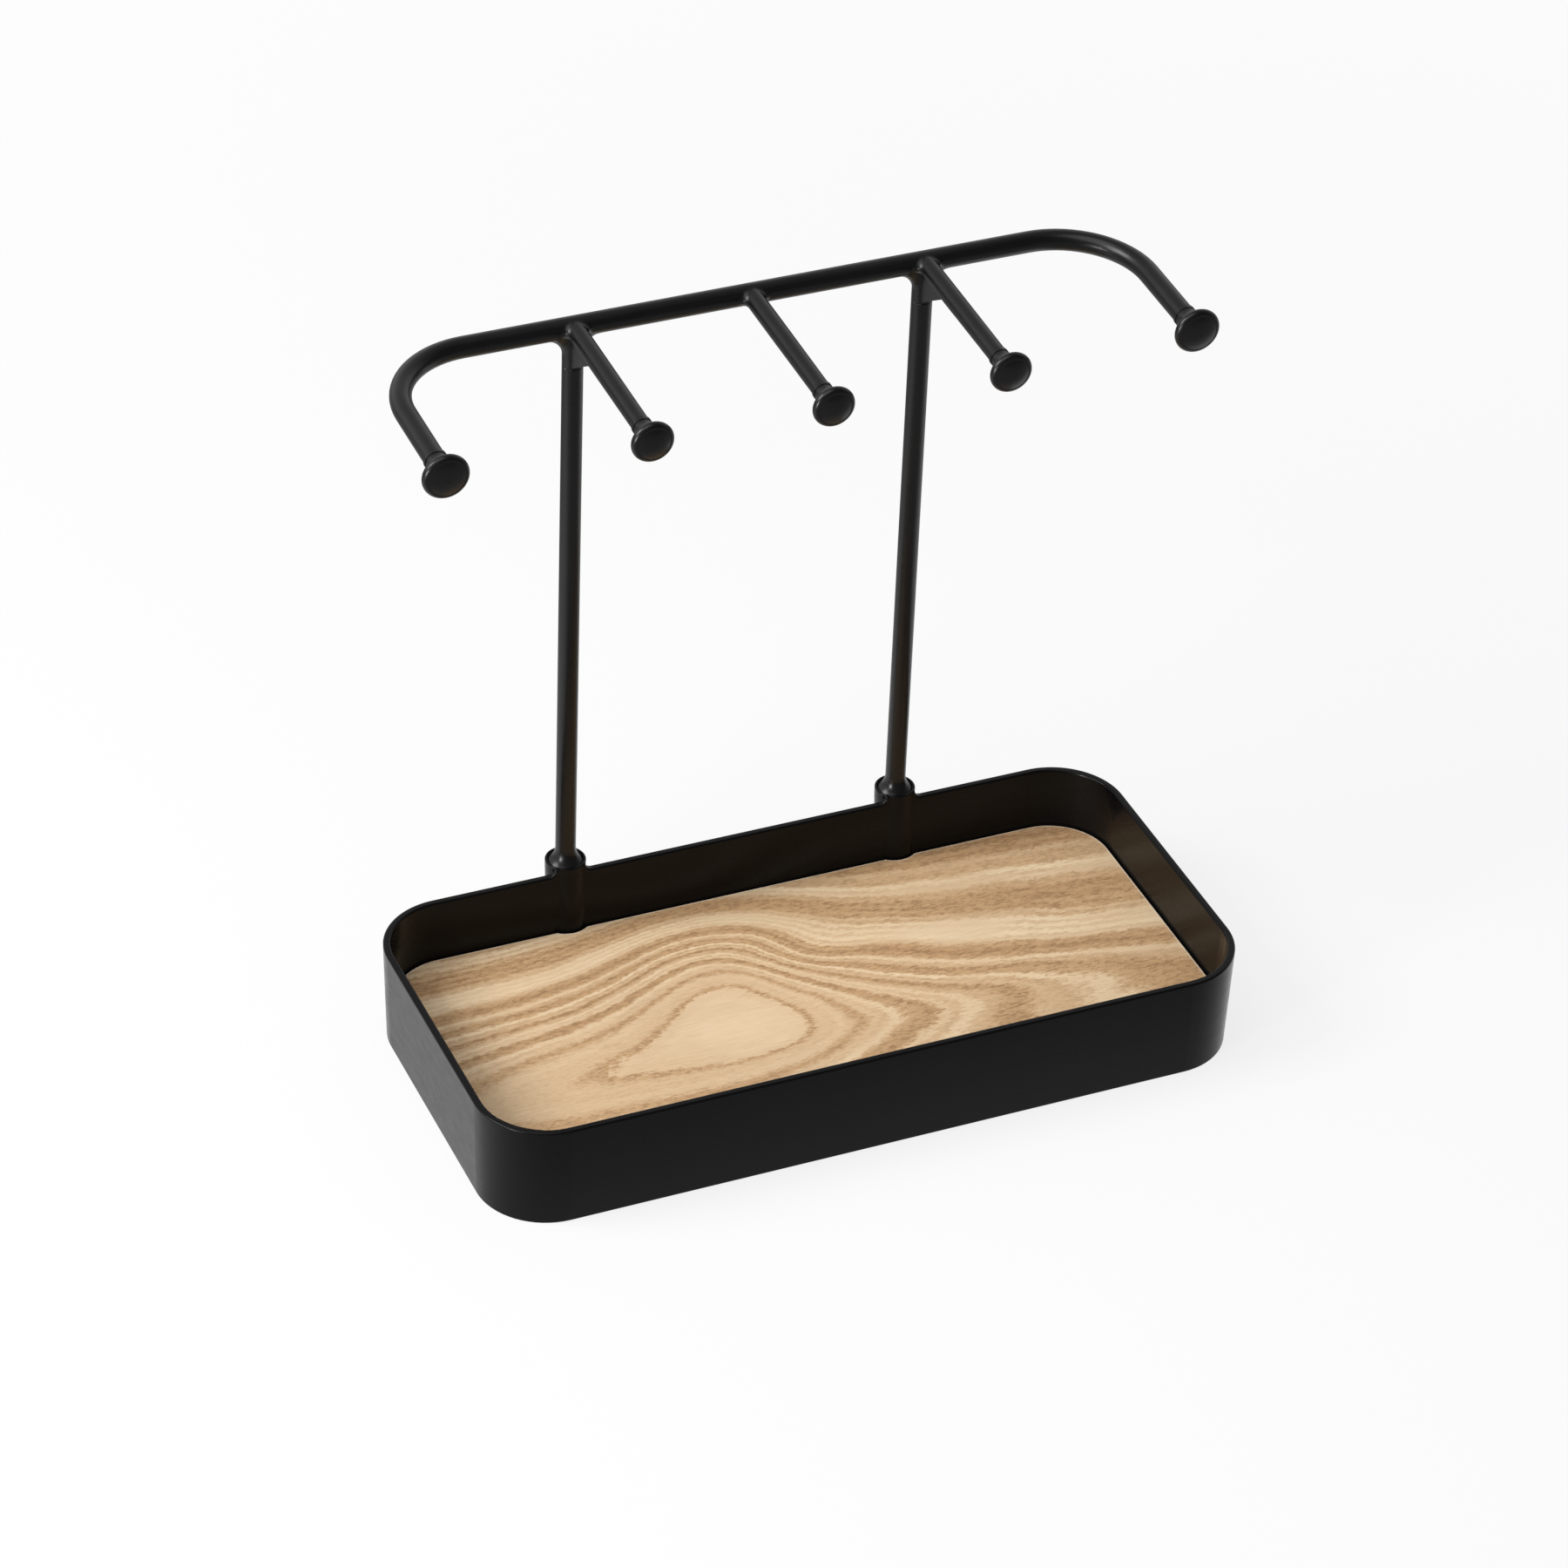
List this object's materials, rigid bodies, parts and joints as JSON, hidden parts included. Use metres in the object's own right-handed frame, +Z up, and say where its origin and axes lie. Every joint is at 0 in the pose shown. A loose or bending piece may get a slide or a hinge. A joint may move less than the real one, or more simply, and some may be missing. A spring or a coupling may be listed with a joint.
{
  "type": "jewelry stand",
  "caption": "Open tray with a wooden board, two posts in sockets on its rear wall, and a top rail whose arms end in knobs for hanging jewellery.",
  "frame": {"origin": "on the table under the middle of the whole footprint", "axes": "+Z up, +X along the tray to the right, -Y to the front, where the knobs point"},
  "size_m": [0.2514, 0.1314, 0.2359],
  "materials": {
    "tray_plastic": "satin black moulded plastic",
    "frame_plastic": "satin black moulded plastic",
    "board_wood": "pale ash veneer, matt"
  },
  "bodies": {
    "tray": {"tray": "tray_plastic"},
    "board": {"board": "board_wood"},
    "posts": {"left_post": "frame_plastic", "right_post": "frame_plastic"},
    "rail": {"top_rail": "frame_plastic", "left_end_knob": "frame_plastic", "left_knob": "frame_plastic", "middle_knob": "frame_plastic", "right_knob": "frame_plastic", "right_end_knob": "frame_plastic"}
  },
  "joints": [
    {"name": "board_lift", "type": "slide", "parent": "tray", "child": "board", "axis": [0, 0, 1], "range_m": [0, 0.03]},
    {"name": "posts_lift", "type": "slide", "parent": "tray", "child": "posts", "axis": [0, 0, 1], "range_m": [0, 0.04]},
    {"name": "rail_lift", "type": "slide", "parent": "posts", "child": "rail", "axis": [0, 0, 1], "range_m": [0, 0.012]}
  ]
}
